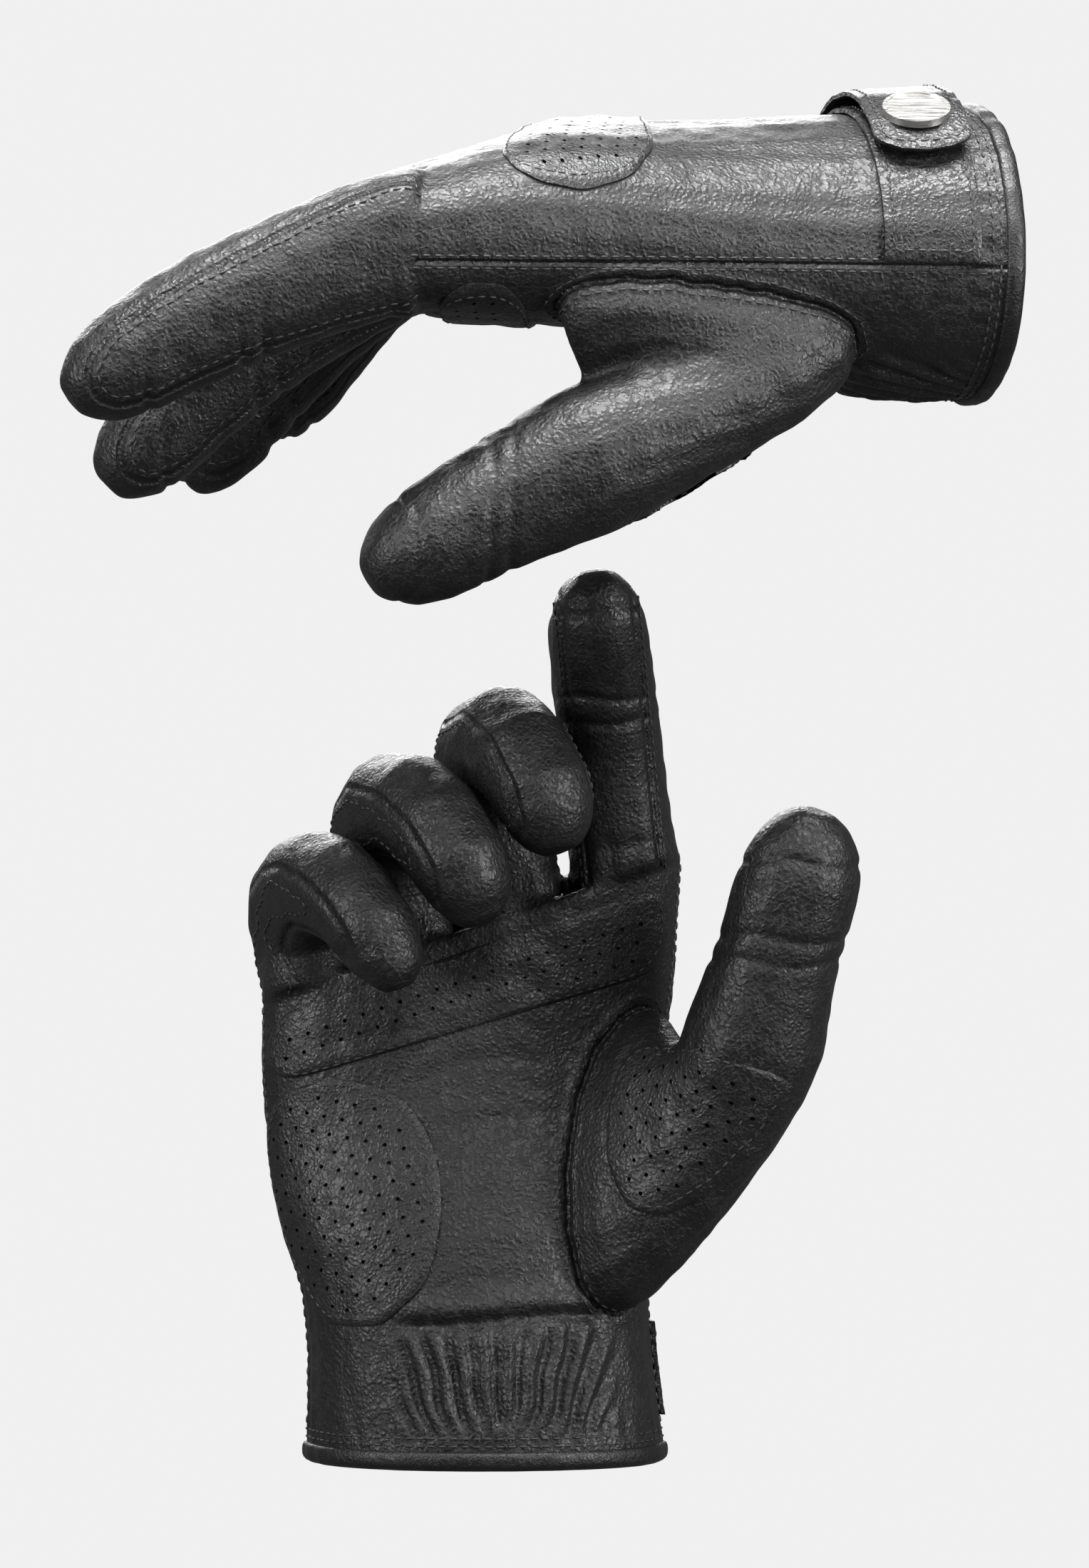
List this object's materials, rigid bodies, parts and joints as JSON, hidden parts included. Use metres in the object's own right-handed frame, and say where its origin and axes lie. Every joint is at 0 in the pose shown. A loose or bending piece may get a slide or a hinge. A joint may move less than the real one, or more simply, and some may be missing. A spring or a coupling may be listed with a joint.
{
  "type": "driving gloves",
  "caption": "Leather driving gloves with perforated patches and a snap wrist strap: one lies back up, the other stands palm forward, fingers curled.",
  "frame": {"origin": "centre of the standing glove's cuff opening, in the plane of the cuff edge", "axes": "+Z along the standing glove from cuff to fingers, +Y out of the back of its hand, +X towards its thumb; the other glove lies above it, fingers towards -X, back towards +Z"},
  "size_m": [0.215, 0.1649, 0.3192],
  "materials": {
    "leather": "pebbled black leather, semi-matt",
    "perforated_leather": "perforated black leather, slightly shinier",
    "strap_leather": "smooth black leather with stitched edges",
    "binding": "rolled thin black leather",
    "stud_metal": "brushed nickel",
    "elastic": "black woven elastic"
  },
  "bodies": {
    "upper_hand": {"upper_back_panel": "leather", "upper_palm_panel": "leather", "upper_thumb_root": "leather", "upper_index_root": "leather", "upper_middle_root": "leather", "upper_ring_root": "leather", "upper_little_root": "leather", "upper_knuckle_patch": "perforated_leather", "upper_finger_bar_patch": "perforated_leather", "upper_heel_patch": "perforated_leather", "upper_strap_band": "strap_leather", "upper_tab_end": "strap_leather", "upper_snap_stud": "stud_metal", "upper_snap_post": "stud_metal", "upper_wrist_elastic": "elastic", "upper_cuff_binding": "binding"},
    "upper_index": {"upper_index_finger": "leather"},
    "upper_middle": {"upper_middle_finger": "leather"},
    "upper_ring": {"upper_ring_finger": "leather"},
    "upper_little": {"upper_little_finger": "leather"},
    "upper_thumb_stall": {"upper_thumb": "leather", "upper_thumb_patch": "perforated_leather"},
    "upper_tab": {"upper_strap_tab": "strap_leather", "upper_snap_cap": "stud_metal", "upper_snap_socket": "stud_metal"},
    "lower_hand": {"lower_back_panel": "leather", "lower_palm_panel": "leather", "lower_thumb_root": "leather", "lower_index_root": "leather", "lower_middle_root": "leather", "lower_ring_root": "leather", "lower_little_root": "leather", "lower_knuckle_patch": "perforated_leather", "lower_finger_bar_patch": "perforated_leather", "lower_heel_patch": "perforated_leather", "lower_strap_band": "strap_leather", "lower_tab_end": "strap_leather", "lower_snap_stud": "stud_metal", "lower_snap_post": "stud_metal", "lower_wrist_elastic": "elastic", "lower_cuff_binding": "binding"},
    "lower_index": {"lower_index_finger": "leather"},
    "lower_middle": {"lower_middle_finger": "leather"},
    "lower_ring": {"lower_ring_finger": "leather"},
    "lower_little": {"lower_little_finger": "leather"},
    "lower_thumb_stall": {"lower_thumb": "leather", "lower_thumb_patch": "perforated_leather"},
    "lower_tab": {"lower_strap_tab": "strap_leather", "lower_snap_cap": "stud_metal", "lower_snap_socket": "stud_metal"}
  },
  "joints": [
    {"name": "upper_pull_off", "type": "slide", "parent": "lower_hand", "child": "upper_hand", "axis": [-0.9781, -0.2079, 0], "range_m": [0, 0.2]},
    {"name": "upper_index_bend", "type": "hinge", "parent": "upper_hand", "child": "upper_index", "pos_m": [-0.01439, -0.1011, 0.27849], "axis": [0.2736, -0.9518, -0.1388], "range_deg": [-12, 32], "deforming": ["upper_index_root"]},
    {"name": "upper_middle_bend", "type": "hinge", "parent": "upper_hand", "child": "upper_middle", "pos_m": [-0.01113, -0.07469, 0.28202], "axis": [0.2229, -0.9649, -0.1392], "range_deg": [-34, 14], "deforming": ["upper_middle_root"]},
    {"name": "upper_ring_bend", "type": "hinge", "parent": "upper_hand", "child": "upper_ring", "pos_m": [-0.00793, -0.04881, 0.28549], "axis": [0.1716, -0.9753, -0.1391], "range_deg": [-40, 8], "deforming": ["upper_ring_root"]},
    {"name": "upper_little_bend", "type": "hinge", "parent": "upper_hand", "child": "upper_little", "pos_m": [-0.00495, -0.02458, 0.28873], "axis": [0.1199, -0.9831, -0.1386], "range_deg": [-44, 8], "deforming": ["upper_little_root"]},
    {"name": "upper_thumb_swing", "type": "hinge", "parent": "upper_hand", "child": "upper_thumb_stall", "pos_m": [0.04972, -0.08108, 0.26465], "axis": [-0.9781, -0.2079, 0], "range_deg": [-14, 10], "deforming": ["upper_thumb_root"]},
    {"name": "upper_tab_lift", "type": "hinge", "parent": "upper_hand", "child": "upper_tab", "pos_m": [0.08799, -0.02436, 0.31539], "axis": [-0.9781, -0.2079, 0], "range_deg": [0, 110]},
    {"name": "lower_index_bend", "type": "hinge", "parent": "lower_hand", "child": "lower_index", "pos_m": [0.0322, 0.003, 0.1371], "axis": [0.9945, 0, 0.1045], "range_deg": [-24, 12], "deforming": ["lower_index_root"]},
    {"name": "lower_middle_bend", "type": "hinge", "parent": "lower_hand", "child": "lower_middle", "pos_m": [0.0068, 0.003, 0.12842], "axis": [0.9077, 0.342, 0.2432], "range_deg": [-16, 10], "deforming": ["lower_middle_root"]},
    {"name": "lower_ring_bend", "type": "hinge", "parent": "lower_hand", "child": "lower_ring", "pos_m": [-0.0181, 0.003, 0.11991], "axis": [0.8585, 0.4067, 0.3125], "range_deg": [-36, 6], "deforming": ["lower_ring_root"]},
    {"name": "lower_little_bend", "type": "hinge", "parent": "lower_hand", "child": "lower_little", "pos_m": [-0.0414, 0.003, 0.11195], "axis": [0.8585, 0.4067, 0.3125], "range_deg": [-60, 4], "deforming": ["lower_little_root"]},
    {"name": "lower_thumb_swing", "type": "hinge", "parent": "lower_hand", "child": "lower_thumb_stall", "pos_m": [0.02793, -0.01157, 0.07023], "axis": [0, 0, 1], "range_deg": [-14, 10], "deforming": ["lower_thumb_root"]},
    {"name": "lower_tab_lift", "type": "hinge", "parent": "lower_hand", "child": "lower_tab", "pos_m": [-0.02619, 0.03206, 0.021], "axis": [0, 0, 1], "range_deg": [0, 110]}
  ]
}
